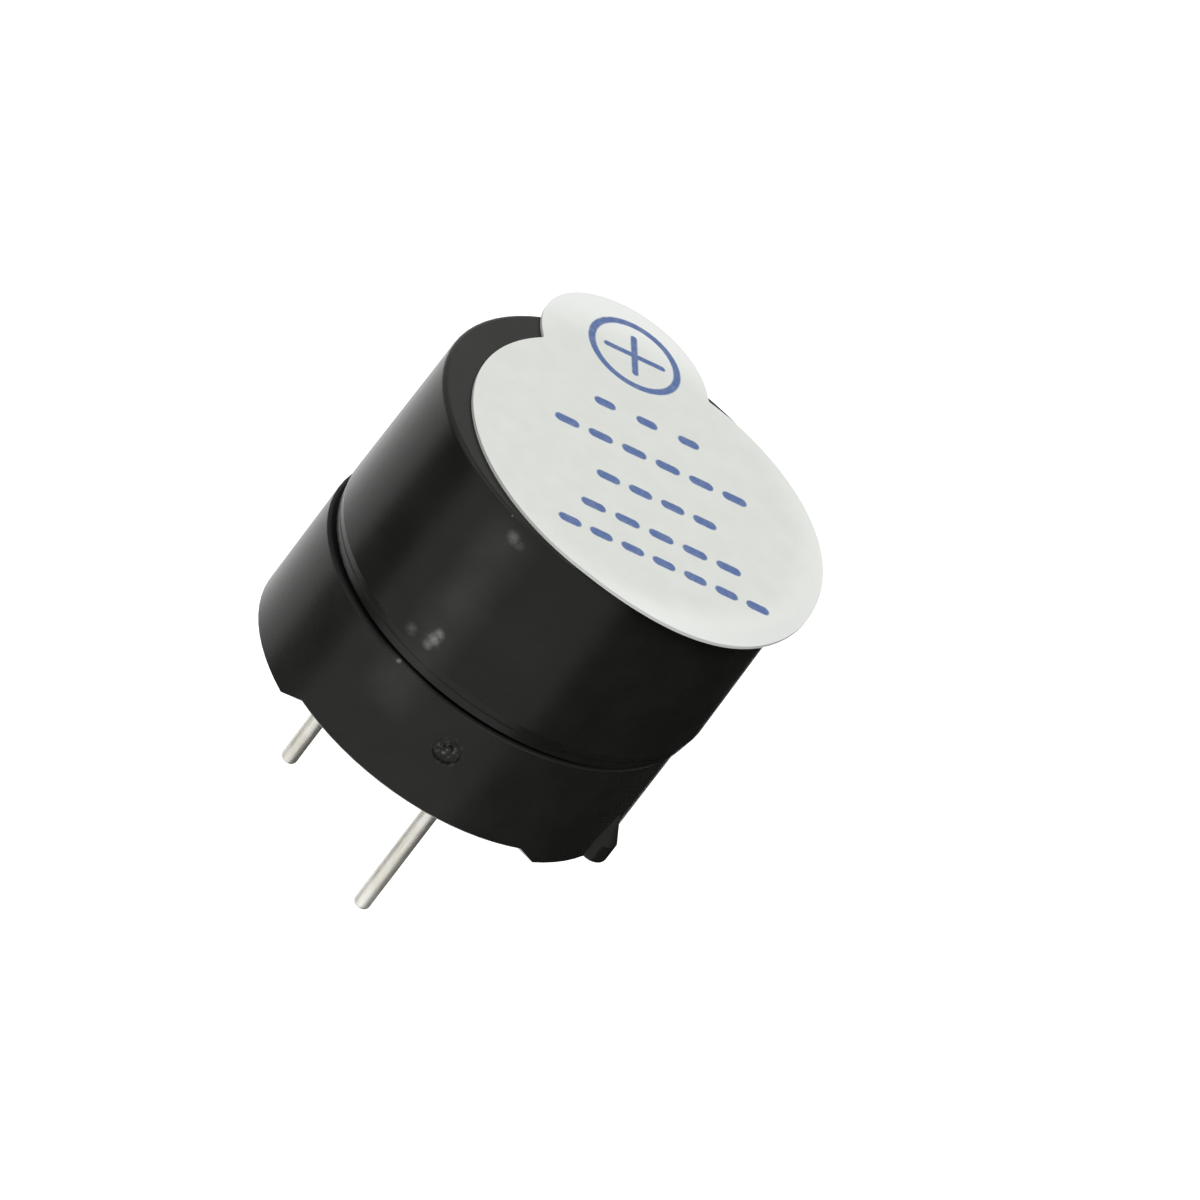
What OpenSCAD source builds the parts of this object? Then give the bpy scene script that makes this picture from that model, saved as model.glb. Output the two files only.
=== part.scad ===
// Sealed through-hole buzzer of the 12 mm class, with its driver inside.
// The origin is on the seat plane, midway between the two pins. +Z is the way the sound leaves.
// The pins stand on the X axis and the positive one is at -X.

/* [Cover] */
// Diameter of the cover at its widest, just above its bevel
cover_d = 12.05; // [11.8:0.05:12.6]
// Height of the cover's top face above the feet
overall_h = 9.8; // [9.2:0.1:12]
// Radius that the moulding draft takes off between the bevel and the top
cover_draft = 0.08; // [0:0.01:0.2]
// Thickness of the cover's skirt round the base's spigot
cover_wall = 0.6; // [0.45:0.05:0.65]
// Thickness of the cover's top wall
cover_top = 0.8; // [0.5:0.05:1]
// Radius of the rounded top edge
top_edge_r = 0.14; // [0.05:0.01:0.3]
// Height of the bevel at the cover's lower edge
bevel_h = 0.55; // [0.2:0.05:1]
// Radius that the bevel takes off
bevel_in = 0.1; // [0.02:0.01:0.2]
// How far the cover's inner step reaches in over the diaphragm's edge
clamp_w = 0.13; // [0.08:0.01:0.3]
// Diameter of the sound port
port_d = 2; // [1:0.1:3.5]
// How far the glued cover sits off the base's axis
cover_shift = 0.14; // [0:0.01:0.14]

/* [Base] */
// How far the base's wall stands in from the cover's widest
base_step = 0.07; // [0:0.01:0.15]
// Height of the base's outer shoulder above the feet
seam_h = 3.86; // [3.3:0.02:4.4]
// Open groove between the base's shoulder and the cover
seam_gap = 0.14; // [0.05:0.01:0.3]
// Chamfer round the shoulder
shoulder_chamfer = 0.09; // [0.03:0.01:0.15]
// Chamfer round the lower rim
rim_chamfer = 0.06; // [0.02:0.01:0.15]
// Radial play between the spigot and the cover's skirt
cover_play = 0.15; // [0.14:0.01:0.18]
// Thickness of the spigot round the diaphragm
seat_wall = 0.22; // [0.15:0.01:0.3]
// Width of the ledge under the diaphragm
ledge_w = 0.28; // [0.2:0.01:0.4]
// Width of the step over the yoke plate's rim
yoke_step = 0.22; // [0.1:0.01:0.3]
// Width of the step over the circuit board's rim
board_step = 0.13; // [0.08:0.01:0.2]
// How far the base's axis sits off the pins' midpoint
base_shift = 0.48; // [0:0.02:0.6]
// Direction in which the base and the cover sit off, from +X
shift_angle = 57; // [40:1:75]

/* [Feet] */
// Height of the feet, from the seat plane to the rim
foot_h = 0.46; // [0.2:0.02:0.8]
// Angles of the three feet round the base, from +X. The third leaves room for the positive pin
foot_angles = [-98, 45, 133];
// Length of a foot along the rim
foot_l = 6.4; // [3:0.1:6.5]
// Slope of a foot's ends, as a length along the rim
foot_slope = 0.65; // [0.1:0.05:0.8]
// Angle of the round standoff on the second foot
post_angle = 44; // [38:1:70]
// Radius of the standoff
post_r = 0.47; // [0.46:0.01:0.5]
// How far the standoff stands out of the base's wall
post_out = 0.45; // [0.3:0.01:0.45]
// Height of the standoff, which dies into the wall
post_h = 1.6; // [1.2:0.05:2.4]

/* [Gate mark] */
// Angle of the moulding gate's mark
gate_angle = -24; // [-40:1:-15]
// Height of its centre
gate_z = 2.55; // [1.6:0.05:2.9]
// Outer radius of its ring groove
gate_r = 0.42; // [0.2:0.01:0.5]
// Depth of its ring groove
gate_depth = 0.09; // [0.04:0.01:0.15]

/* [Label] */
// How much smaller the label's disc is in radius than the cover's top
label_in = 0.24; // [0:0.02:0.8]
// Thickness of the label
label_t = 0.1; // [0.05:0.01:0.2]
// How far the disc's centre lies off the cover's axis
label_shift = 0.8; // [0:0.01:1]
// Direction of that offset
label_shift_angle = 42; // [20:1:50]
// Radius of the pull tab
tab_r = 2.72; // [2.4:0.05:3.2]
// How far the tab's centre lies inside the disc's edge
tab_in = 0.4; // [0:0.02:1]
// Direction of the pull tab
tab_angle = 177; // [160:1:190]
// Radius in the corners between the tab and the disc
tab_fillet = 0.18; // [0.05:0.01:0.4]
// Slope of the sagging edge, as drop over overhang
sag_slope = 0.8; // [0:0.05:0.9]
// Direction in which the edge sags most
sag_angle = 22; // [0:1:40]
// Half the arc over which it sags
sag_spread = 85; // [40:1:90]

/* [Pins] */
// Distance between the two pins
pin_pitch = 7.6; // [7:0.1:7.8]
// Diameter of a pin
pin_d = 0.5; // [0.4:0.02:0.6]
// Length of the positive pin below the seat plane
positive_l = 6.4; // [3:0.1:9]
// Length of the negative pin below the seat plane
negative_l = 4.8; // [3:0.1:9]
// Radius of the rounded tips
tip_r = 0.17; // [0.05:0.01:0.19]
// Diameter of the swaged collar that the potting grips
collar_d = 0.84; // [0.82:0.02:0.9]
// Height of the collar
collar_h = 0.6; // [0.54:0.02:0.7]
// How far the collar's lower face stays inside the base's rim
collar_in = 0.1; // [0.02:0.01:0.12]

/* [Sound unit] */
// Thickness of the diaphragm
diaphragm_t = 0.1; // [0.05:0.01:0.15]
// Diameter of the armature disc on the diaphragm
armature_d = 4; // [2:0.1:6]
// Thickness of the armature disc
armature_t = 0.4; // [0.2:0.05:0.7]
// Space between the bobbin and the ring magnet round it
coil_gap = 0.4; // [0.2:0.05:0.8]
// Height of the ring magnet
magnet_h = 2.4; // [2.3:0.05:2.6]
// Space between the magnet and the diaphragm
magnet_gap = 0.3; // [0.15:0.05:0.6]
// Thickness of the yoke plate
yoke_t = 0.7; // [0.4:0.05:0.9]
// Diameter of the iron core
core_d = 2; // [1.4:0.1:2.2]
// Air gap between the core and the diaphragm
air_gap = 0.2; // [0.1:0.02:0.28]

/* [Coil] */
// Radius of the bobbin's flanges as a share of the magnet's
bobbin_share = 0.617; // [0.6:0.002:0.63]
// Height of the bobbin
bobbin_h = 2.2; // [1.9:0.05:2.3]
// Wall of the bobbin's tube
bobbin_wall = 0.22; // [0.15:0.01:0.3]
// Thickness of a flange
flange_t = 0.15; // [0.1:0.01:0.25]
// Share of the windings' thickness that the drive winding fills
drive_share = 0.55; // [0.45:0.01:0.65]
// How far the feedback winding stays inside the flanges' edge
winding_in = 0.1; // [0.05:0.01:0.2]
// Height of one turn of the outer winding
wire_d = 0.16; // [0.12:0.01:0.24]
// Diameter of a lead
lead_d = 0.12; // [0.08:0.01:0.16]

/* [Driver board] */
// Thickness of the board
board_t = 0.6; // [0.4:0.05:0.8]
// Space between the board and the yoke plate
board_gap = 0.25; // [0.15:0.05:0.4]
// Thickness of the copper
copper_t = 0.04; // [0.02:0.01:0.07]
// Width of a track
track_w = 0.3; // [0.2:0.02:0.36]
// Height of the transistor's body
transistor_h = 0.9; // [0.6:0.05:0.95]
// Height of the resistor
resistor_h = 0.42; // [0.3:0.02:0.6]
// Depth of the potting over the board
pot_h = 1.25; // [1.2:0.05:1.4]
// How far the potting's rim stays inside the base's rim
pot_recess = 0.3; // [0.2:0.02:0.5]
// How far the potting's middle has sunk below its rim
pot_sag = 0.1; // [0:0.01:0.15]

/* [Hidden] */
$fa = 6;
$fs = 0.11;

// Fits
part_play = 0.05;     // radial play of the magnet, yoke, board and diaphragm in the base
core_play = 0.02;     // radial play of the bobbin on the core
hole_play = 0.05;     // radial play of a pin or lead in the board
lip_h = 0.15;         // how far the spigot's lip stands over the diaphragm
eps = 0.02;           // overshoot of a cut past the face that it opens

// Heights, from the seat plane upwards
rim_z = foot_h;
pot_z = rim_z + pot_recess;
board_z = pot_z + pot_h;
board_top = board_z + board_t;
yoke_z = board_top + board_gap;
yoke_top = yoke_z + yoke_t;
magnet_top = yoke_top + magnet_h;
ledge_z = magnet_top + magnet_gap;
core_top = ledge_z - air_gap;
diaphragm_top = ledge_z + diaphragm_t;
spigot_top = diaphragm_top + lip_h;
skirt_z = seam_h + seam_gap;
ceiling_z = overall_h - cover_top;

// Radii of the housing, from the outside inwards, and then down the steps of the base's bore
cover_r = cover_d / 2;
cover_top_r = cover_r - cover_draft;
base_r = cover_r - base_step;
skirt_in_r = cover_r - cover_wall;
spigot_r = skirt_in_r - cover_play;
seat_r = spigot_r - seat_wall;
chamber_r = seat_r - clamp_w;
magnet_bore_r = seat_r - ledge_w;
yoke_bore_r = magnet_bore_r + yoke_step;
board_bore_r = yoke_bore_r + board_step;

// Radii of what the housing holds
diaphragm_r = seat_r - part_play;
magnet_r = magnet_bore_r - part_play;
yoke_r = yoke_bore_r - part_play;
board_r = board_bore_r - part_play;
core_r = core_d / 2;
tube_in_r = core_r + core_play;
tube_r = tube_in_r + bobbin_wall;
bobbin_r = bobbin_share * magnet_r;
feedback_r = bobbin_r - winding_in;
drive_r = tube_r + drive_share * (feedback_r - tube_r);
magnet_in_r = bobbin_r + coil_gap;
pin_r = pin_d / 2;
lead_r = lead_d / 2;
label_r = cover_top_r - label_in;
tab_reach = label_r - tab_in;

// The point at distance r in direction a
function polar(r, a) = r * [cos(a), sin(a)];

// Where the axes stand
base_at = polar(base_shift, shift_angle);
cover_at = polar(base_shift + cover_shift, shift_angle);
label_at = polar(label_shift, label_shift_angle);
positive_at = [-pin_pitch / 2, 0];
negative_at = [pin_pitch / 2, 0];

// The board's layout, seen from above and centred on the board
drive_at = polar((tube_r + drive_r) / 2, 68);
common_at = polar((drive_r + feedback_r) / 2, 90);
feedback_at = polar((drive_r + feedback_r) / 2, 106);
transistor_at = [0.9, -1.9];
transistor_w = 2.9;      // length of the body along X
transistor_d = 1.3;      // width of the body along Y
leg_pitch = 1.9;         // distance between the two legs on one side
leg_w = 0.4;
leg_t = 0.12;
leg_out = 0.55;          // how far a leg reaches out of the body
leg_foot = 0.32;         // length of its flat foot
leg_z = 0.45;            // height at which it leaves the body
standoff = 0.06;         // space under the transistor's body
resistor_at = [-1.9, 0.6];
resistor_w = 0.8;        // width along X
resistor_l = 1.6;        // length along Y
cap_l = 0.3;
cap_t = 0.04;
slot_play = 0.15;        // space between the leads and the edges of their slot
slot_w = 2 * (lead_r + slot_play - feedback_at.x);
slot_in = drive_at.y - lead_r - slot_play;
slot_out = common_at.y + lead_r + slot_play;
pin_pad_r = 0.72;
lead_pad_r = 0.3;
pad_side = 0.1;          // how far a pad is wider than its leg on each side
pad_end = 0.2;           // how far it is longer at each end
edge_clear = 0.05;       // bare strip along the board's edge
plus_corner = [-2.9, 3.4];   // where the track from the positive pin turns
plus_y = 4.1;            // how far out it then passes the leads
sense_drop = 0.35;       // step of the feedback lead's track
collector_y = 0.6;       // where the collector's track turns towards the drive lead
lead_tail = 0.12;        // how far a lead stands out of the copper, inside its solder
lead_solder_h = 0.2;
pin_solder_h = 0.5;
solder_in = 0.04;        // bare rim of a pad round its solder
solder_top = 0.05;       // thickness of the solder round the wire at its upper end
fillet_l = 0.18;         // reach of the solder in front of a leg
cap_fillet_l = 0.24;     // reach of the solder in front of a resistor's cap
cap_fillet_h = 0.3;

// Points of an arc round c, from angle a to angle b
function arc(c, r, a, b, n) =
    [for (i = [0 : n]) c + polar(r, a + (b - a) * i / n)];

module on_base() {
    translate([base_at.x, base_at.y, 0])
        children();
}

module on_cover() {
    translate([cover_at.x, cover_at.y, 0])
        children();
}

// Turns the parts under the board upside down: Z is then the height below the copper
module under_board() {
    translate([base_at.x, base_at.y, board_z - copper_t])
        mirror([0, 0, 1])
            children();
}

module ring(outer_r, inner_r, z, h) {
    translate([0, 0, z])
        difference() {
            cylinder(h = h, r = outer_r);
            translate([0, 0, -eps])
                cylinder(h = h + 2 * eps, r = inner_r);
        }
}

// ---- Cover: one moulded cup with a stepped bore, whose step rests on the base's spigot

module cover() {
    edge = [cover_top_r - top_edge_r, overall_h - top_edge_r];
    color("#1d1c1b")
        on_cover()
            rotate_extrude()
                polygon(concat(
                    [
                        [skirt_in_r, skirt_z],
                        [cover_r - bevel_in, skirt_z],
                        [cover_r, skirt_z + bevel_h]
                    ],
                    arc(edge, top_edge_r, 0, 90, 5),
                    [
                        [port_d / 2, overall_h],
                        [port_d / 2, ceiling_z],
                        [chamber_r, ceiling_z],
                        [chamber_r, spigot_top],
                        [skirt_in_r, spigot_top]
                    ]
                ));
}

// ---- Base: a moulded ring with seats for the board, yoke, magnet and diaphragm, on three feet

module base_ring() {
    rotate_extrude()
        polygon([
            [board_bore_r, 0],
            [base_r - rim_chamfer, 0],
            [base_r, rim_chamfer],
            [base_r, seam_h - shoulder_chamfer],
            [base_r - shoulder_chamfer, seam_h],
            [spigot_r, seam_h],
            [spigot_r, spigot_top],
            [seat_r, spigot_top],
            [seat_r, ledge_z],
            [magnet_bore_r, ledge_z],
            [magnet_bore_r, yoke_top],
            [yoke_bore_r, yoke_top],
            [yoke_bore_r, board_top],
            [board_bore_r, board_top]
        ]);
}

// The stretch of the wall that reaches the seat plane as one foot, with sloping rounded ends
module foot_span(angle) {
    half = foot_l / 2;
    round_r = 0.1;
    slope_a = atan2(foot_h, foot_slope);
    corner = half - foot_slope - round_r * tan(slope_a / 2);
    rotate([90, 0, angle + 90])
        linear_extrude(height = base_r + 2)
            polygon(concat(
                [
                    [half, rim_z],
                    [half, rim_z + 2],
                    [-half, rim_z + 2],
                    [-half, rim_z]
                ],
                arc([-corner, round_r], round_r, 270 - slope_a, 270, 4),
                arc([corner, round_r], round_r, -90, slope_a - 90, 4)
            ));
}

// What is cut from the wall's lower edge between the feet, up to the chamfered rim
module rim_gaps() {
    difference() {
        rotate_extrude()
            polygon([
                [0, -1],
                [base_r + 1, -1],
                [base_r + 1, rim_z + rim_chamfer + 1],
                [base_r - rim_chamfer, rim_z],
                [0, rim_z]
            ]);
        for (a = foot_angles)
            foot_span(a);
    }
}

// A half-round standoff on the outside of the wall, which tapers away upwards
module post() {
    foot_round = 0.18;
    straight_h = 0.45 * post_h;
    rotate(post_angle)
        translate([base_r + post_out - post_r, 0, 0])
            rotate_extrude()
                polygon(concat(
                    [[0, 0]],
                    arc([post_r - foot_round, foot_round], foot_round, -90, 0, 5),
                    [
                        [post_r, straight_h],
                        [post_r - post_out, post_h],
                        [0, post_h]
                    ]
                ));
}

module base() {
    stub_r = 0.15;
    color("#232322")
        on_base()
            difference() {
                union() {
                    difference() {
                        base_ring();
                        rim_gaps();
                    }
                    post();
                }
                rotate(gate_angle)
                    translate([base_r - gate_depth, 0, gate_z])
                        rotate([0, 90, 0])
                            ring(gate_r, stub_r, 0, 1);
            }
}

// ---- Label: a paper seal glued on the cover, with a pull tab and an edge that sags over the rim

fillet_a = acos((pow(label_r + tab_fillet, 2) + pow(tab_reach, 2) - pow(tab_r + tab_fillet, 2))
    / (2 * (label_r + tab_fillet) * tab_reach));
fillet_at = (label_r + tab_fillet) * [cos(fillet_a), sin(fillet_a)];
tab_a = atan2(fillet_at.y, fillet_at.x - tab_reach);
outline = concat(
    arc([0, 0], label_r, fillet_a, 360 - fillet_a, 56),
    arc([fillet_at.x, -fillet_at.y], tab_fillet, 180 - fillet_a, 180 - tab_a, 2),
    arc([tab_reach, 0], tab_r, -tab_a, tab_a, 20),
    arc(fillet_at, tab_fillet, 180 + tab_a, 180 + fillet_a, 2)
);
label_steps = 3;   // rings of facets from where the label leaves the cover to its edge
last_start = 0.985; // share of the way out at which they start where the label has no overhang
sag_ease = 0.08;   // overhang over which the sag sets in

function turned(p, a) = [p.x * cos(a) - p.y * sin(a), p.x * sin(a) + p.y * cos(a)];
// How far the label has sagged at a point p of the cover's plan
function sag(p) =
    let (
        over = max(0, norm(p) - cover_top_r),
        away = abs(atan2(p.y, p.x) - sag_angle),
        share = away < sag_spread ? pow(cos(90 * away / sag_spread), 2) : 0
    )
    sag_slope * share * over * over / (over + sag_ease);
// The share of the way out to an outline's point p at which ring j lies, from 0 over the cover's rim
function ring_share(p, j) =
    let (
        q = turned(p, tab_angle),
        b = label_at * q,
        rim = (sqrt(b * b + q * q * (cover_top_r * cover_top_r - label_shift * label_shift)) - b)
            / (q * q),
        start = min(rim, last_start)
    )
    start + (1 - start) * j / label_steps;
function label_point(k, p, lift) =
    let (q = label_at + turned(k * p, tab_angle))
    [q.x, q.y, overall_h + lift - sag(q)];

module seal_label() {
    n = len(outline);
    m = label_steps + 1;
    side = 1 + m * n;
    points = concat(
        [label_point(0, [0, 0], 0)],
        [for (j = [0 : label_steps], p = outline) label_point(ring_share(p, j), p, 0)],
        [label_point(0, [0, 0], label_t)],
        [for (j = [0 : label_steps], p = outline) label_point(ring_share(p, j), p, label_t)]
    );
    // face winding: flip is true for the underside
    function tri(a, b, c, flip) = flip ? [a, c, b] : [c, a, b];
    function skin(s, flip) = concat(
        [for (i = [0 : n - 1]) tri(s, s + 1 + (i + 1) % n, s + 1 + i, flip)],
        [for (j = [0 : m - 2], i = [0 : n - 1])
            tri(s + 1 + j * n + i, s + 1 + j * n + (i + 1) % n, s + 1 + (j + 1) * n + i, flip)],
        [for (j = [0 : m - 2], i = [0 : n - 1])
            tri(s + 1 + j * n + (i + 1) % n, s + 1 + (j + 1) * n + (i + 1) % n,
                s + 1 + (j + 1) * n + i, flip)]
    );
    rim = 1 + (m - 1) * n;
    color("#dcdfd9")
        on_cover()
            polyhedron(points, concat(
                skin(0, true),
                skin(side, false),
                [for (i = [0 : n - 1]) [rim + i, side + rim + i, rim + (i + 1) % n]],
                [for (i = [0 : n - 1]) [rim + (i + 1) % n, side + rim + i, side + rim + (i + 1) % n]]
            ));
}

// ---- Sound unit

module diaphragm() {
    color("#9c9a92")
        on_base()
            translate([0, 0, ledge_z])
                cylinder(h = diaphragm_t, r = diaphragm_r);
}

module armature_disc() {
    color("#7d7d7d")
        on_base()
            translate([0, 0, diaphragm_top])
                cylinder(h = armature_t, d = armature_d);
}

module ring_magnet() {
    color("#3a3a3c")
        on_base()
            ring(magnet_r, magnet_in_r, yoke_top, magnet_h);
}

// The way through which the coil's leads come down
module lead_slot(z, h, out) {
    translate([-slot_w / 2, slot_in, z])
        cube([slot_w, out - slot_in, h]);
}

module yoke_plate() {
    color("#8b8d8f")
        on_base()
            difference() {
                ring(yoke_r, core_r, yoke_z, yoke_t);
                lead_slot(yoke_z - eps, yoke_t + 2 * eps, slot_out);
            }
}

module iron_core() {
    color("#a5a7a9")
        on_base()
            translate([0, 0, yoke_z])
                cylinder(h = core_top - yoke_z, r = core_r);
}

// ---- Coil

winding_z = yoke_top + flange_t;
winding_h = bobbin_h - 2 * flange_t;

module coil_bobbin() {
    color("#e6e2d3")
        on_base()
            difference() {
                rotate_extrude()
                    polygon([
                        [tube_in_r, yoke_top],
                        [bobbin_r, yoke_top],
                        [bobbin_r, winding_z],
                        [tube_r, winding_z],
                        [tube_r, winding_z + winding_h],
                        [bobbin_r, winding_z + winding_h],
                        [bobbin_r, yoke_top + bobbin_h],
                        [tube_in_r, yoke_top + bobbin_h]
                    ]);
                lead_slot(yoke_top - eps, flange_t + eps, bobbin_r + eps);
            }
}

module drive_coil() {
    color("#b5651d")
        on_base()
            ring(drive_r, tube_r, winding_z, winding_h);
}

// The outer winding shows one ridge for each turn of its last layer
module feedback_coil() {
    turns = floor(winding_h / wire_d);
    pitch = winding_h / turns;
    color("#c87533")
        on_base()
            rotate_extrude($fn = 40)
                polygon(concat(
                    [
                        [drive_r, winding_z + winding_h],
                        [drive_r, winding_z]
                    ],
                    [for (i = [0 : turns - 1], k = [0, 0.5])
                        [feedback_r - (k == 0 ? wire_d / 3 : 0), winding_z + (i + k) * pitch]],
                    [[feedback_r - wire_d / 3, winding_z + winding_h]]
                ));
}

// The straight end of a winding, from the winding down through the board
module lead(at) {
    tail_z = board_z - copper_t - lead_tail;
    on_base()
        translate([at.x, at.y, tail_z])
            cylinder(h = winding_z - tail_z, r = lead_r);
}

module drive_lead() {
    color("#b5651d")
        lead(drive_at);
}

module feedback_lead() {
    color("#c87533")
        lead(feedback_at);
}

module common_lead() {
    color("#d08a4c")
        lead(common_at);
}

// ---- Driver board, with its copper side down

module board_holes(z, h, play) {
    for (p = [positive_at, negative_at])
        translate([p.x - base_at.x, p.y - base_at.y, z])
            cylinder(h = h, r = pin_r + play);
    for (p = [drive_at, common_at, feedback_at])
        translate([p.x, p.y, z])
            cylinder(h = h, r = lead_r + play);
}

module circuit_board() {
    color("#c9b27c")
        on_base()
            difference() {
                translate([0, 0, board_z])
                    cylinder(h = board_t, r = board_r);
                board_holes(board_z - eps, board_t + 2 * eps, hole_play);
            }
}

// A strip of copper from a to b, with round ends
module track(a, b) {
    d = b - a;
    translate([a.x, a.y, 0]) {
        cylinder(h = copper_t, d = track_w, $fn = 16);
        rotate(atan2(d.y, d.x))
            translate([0, -track_w / 2, 0])
                cube([norm(d), track_w, copper_t]);
    }
    translate([b.x, b.y, 0])
        cylinder(h = copper_t, d = track_w, $fn = 16);
}

module route(points) {
    for (i = [1 : len(points) - 1])
        track(points[i - 1], points[i]);
}

base_foot_at = transistor_at + [-leg_pitch / 2, -transistor_d / 2 - leg_out + leg_foot / 2];
emitter_foot_at = transistor_at + [leg_pitch / 2, -transistor_d / 2 - leg_out + leg_foot / 2];
collector_foot_at = transistor_at + [0, transistor_d / 2 + leg_out - leg_foot / 2];
resistor_ends = [resistor_at - [0, resistor_l / 2], resistor_at + [0, resistor_l / 2]];

module pad(at, w, l) {
    translate([at.x - w / 2, at.y - l / 2, 0])
        cube([w, l, copper_t]);
}

module round_pad(at, r) {
    translate([at.x, at.y, 0])
        cylinder(h = copper_t, r = r);
}

module copper_tracks() {
    plus = positive_at - base_at;
    minus = negative_at - base_at;
    color("#b87333")
        on_base()
            translate([0, 0, board_z - copper_t])
                difference() {
                    intersection() {
                        cylinder(h = copper_t, r = board_r - edge_clear);
                        union() {
                            for (p = [plus, minus])
                                round_pad(p, pin_pad_r);
                            for (p = [drive_at, common_at, feedback_at])
                                round_pad(p, lead_pad_r);
                            for (p = [base_foot_at, emitter_foot_at, collector_foot_at])
                                pad(p, leg_w + 2 * pad_side, leg_foot + 2 * pad_end);
                            for (p = resistor_ends)
                                pad(p, resistor_w, 2 * cap_l + pad_end);
                            route([plus, plus_corner, [common_at.x, plus_y], common_at]);
                            route([
                                feedback_at,
                                [resistor_at.x, feedback_at.y - sense_drop],
                                resistor_ends[1]
                            ]);
                            route([
                                resistor_ends[0],
                                [resistor_at.x, base_foot_at.y],
                                base_foot_at
                            ]);
                            route([emitter_foot_at, minus]);
                            route([
                                collector_foot_at,
                                [collector_foot_at.x, collector_y],
                                drive_at
                            ]);
                        }
                    }
                    board_holes(-eps, copper_t + 2 * eps, 0);
                }
}

// ---- Parts on the copper side, each drawn upwards from the copper

module transistor_body() {
    draft = 0.1;
    mid = leg_z + leg_t / 2;
    color("#2b2b2d")
        under_board()
            translate([transistor_at.x, transistor_at.y, 0])
                rotate([90, 0, 0])
                    translate([0, 0, -transistor_d / 2])
                        linear_extrude(height = transistor_d)
                            polygon([
                                [-transistor_w / 2 + draft, standoff],
                                [transistor_w / 2 - draft, standoff],
                                [transistor_w / 2, mid],
                                [transistor_w / 2 - draft, standoff + transistor_h],
                                [-transistor_w / 2 + draft, standoff + transistor_h],
                                [-transistor_w / 2, mid]
                            ]);
}

// A gull-wing leg that leaves the body at its side and stands on the copper
module leg(at, turn) {
    bend = leg_out - leg_foot;
    translate([at.x, at.y, 0])
        rotate(turn)
            translate([-leg_w / 2, 0, 0])
                rotate([90, 0, 90])
                    linear_extrude(height = leg_w)
                        polygon([
                            [0, leg_z],
                            [bend - leg_t, leg_z],
                            [bend - leg_t / 2, 0],
                            [leg_out, 0],
                            [leg_out, leg_t],
                            [bend + leg_t / 2, leg_t],
                            [bend, leg_z + leg_t],
                            [0, leg_z + leg_t]
                        ]);
}

module transistor_legs() {
    color("#c8c8c8")
        under_board() {
            leg(transistor_at + [0, transistor_d / 2], 0);
            for (s = [-1, 1])
                leg(transistor_at + [s * leg_pitch / 2, -transistor_d / 2], 180);
        }
}

module resistor_body() {
    color("#26262a")
        under_board()
            translate([resistor_at.x, resistor_at.y, resistor_h / 2])
                cube([resistor_w - 2 * cap_t, resistor_l - 2 * cap_t, resistor_h - 2 * cap_t],
                    center = true);
}

module resistor_caps() {
    color("#d0d0cc")
        under_board()
            translate([resistor_at.x, resistor_at.y, resistor_h / 2])
                for (s = [-1, 1])
                    difference() {
                        translate([0, s * (resistor_l - cap_l) / 2, 0])
                            cube([resistor_w, cap_l, resistor_h], center = true);
                        cube([resistor_w - 2 * cap_t, resistor_l - 2 * cap_t, resistor_h - 2 * cap_t],
                            center = true);
                    }
}

// ---- Pins and solder

module pin(at, below) {
    collar_z = rim_z + collar_in;
    color("#c9c9c4")
        translate([at.x, at.y, 0])
            rotate_extrude()
                polygon(concat(
                    [[0, -below]],
                    arc([pin_r - tip_r, tip_r - below], tip_r, -90, 0, 6),
                    [
                        [pin_r, collar_z],
                        [collar_d / 2, collar_z],
                        [collar_d / 2, collar_z + collar_h],
                        [pin_r, collar_z + collar_h],
                        [pin_r, board_top],
                        [0, board_top]
                    ]
                ));
}

module positive_pin() {
    pin(positive_at, positive_l);
}

module negative_pin() {
    pin(negative_at, negative_l);
}

// A cone of solder round a wire, which stands up from a pad.
// Where end is less than the cone's height h, the wire ends inside the cone
module solder_cone(at, wire_r, pad_r, h, end) {
    translate([at.x, at.y, 0])
        rotate_extrude()
            polygon(concat(
                [
                    [wire_r, 0],
                    [pad_r - solder_in, 0],
                    [wire_r + solder_top, h]
                ],
                end < h ? [[0, h], [0, end], [wire_r, end]] : [[wire_r, h]]
            ));
}

module pin_solder() {
    color("#b9b9b5")
        under_board()
            intersection() {
                cylinder(h = pin_solder_h, r = board_r - edge_clear);
                for (p = [positive_at, negative_at])
                    solder_cone(p - base_at, pin_r, pin_pad_r, pin_solder_h, pin_solder_h);
            }
}

module lead_solder() {
    color("#b9b9b5")
        under_board()
            for (p = [drive_at, common_at, feedback_at])
                solder_cone(p, lead_r, lead_pad_r, lead_solder_h, lead_tail);
}

// A wedge of solder against an end that faces +Y
module wedge(at, turn, w, l, h) {
    translate([at.x, at.y, 0])
        rotate(turn)
            translate([-w / 2, 0, 0])
                rotate([90, 0, 90])
                    linear_extrude(height = w)
                        polygon([[0, 0], [l, 0], [0, h]]);
}

module part_solder() {
    color("#b9b9b5")
        under_board() {
            wedge(resistor_ends[1], 0, resistor_w, cap_fillet_l, cap_fillet_h);
            wedge(resistor_ends[0], 180, resistor_w, cap_fillet_l, cap_fillet_h);
            wedge(collector_foot_at + [0, leg_foot / 2], 0, leg_w, fillet_l, leg_t);
            for (p = [base_foot_at, emitter_foot_at])
                wedge(p - [0, leg_foot / 2], 180, leg_w, fillet_l, leg_t);
        }
}

// ---- Potting: black resin cast over the board's parts, up to its copper side

module potting_blank() {
    steps = 5;
    rotate_extrude()
        polygon(concat(
            [for (i = [0 : steps])
                let (r = board_bore_r * i / steps)
                [r, pot_z + pot_sag * (1 - pow(i / steps, 3))]],
            [
                [board_bore_r, board_z],
                [0, board_z]
            ]
        ));
}

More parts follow.
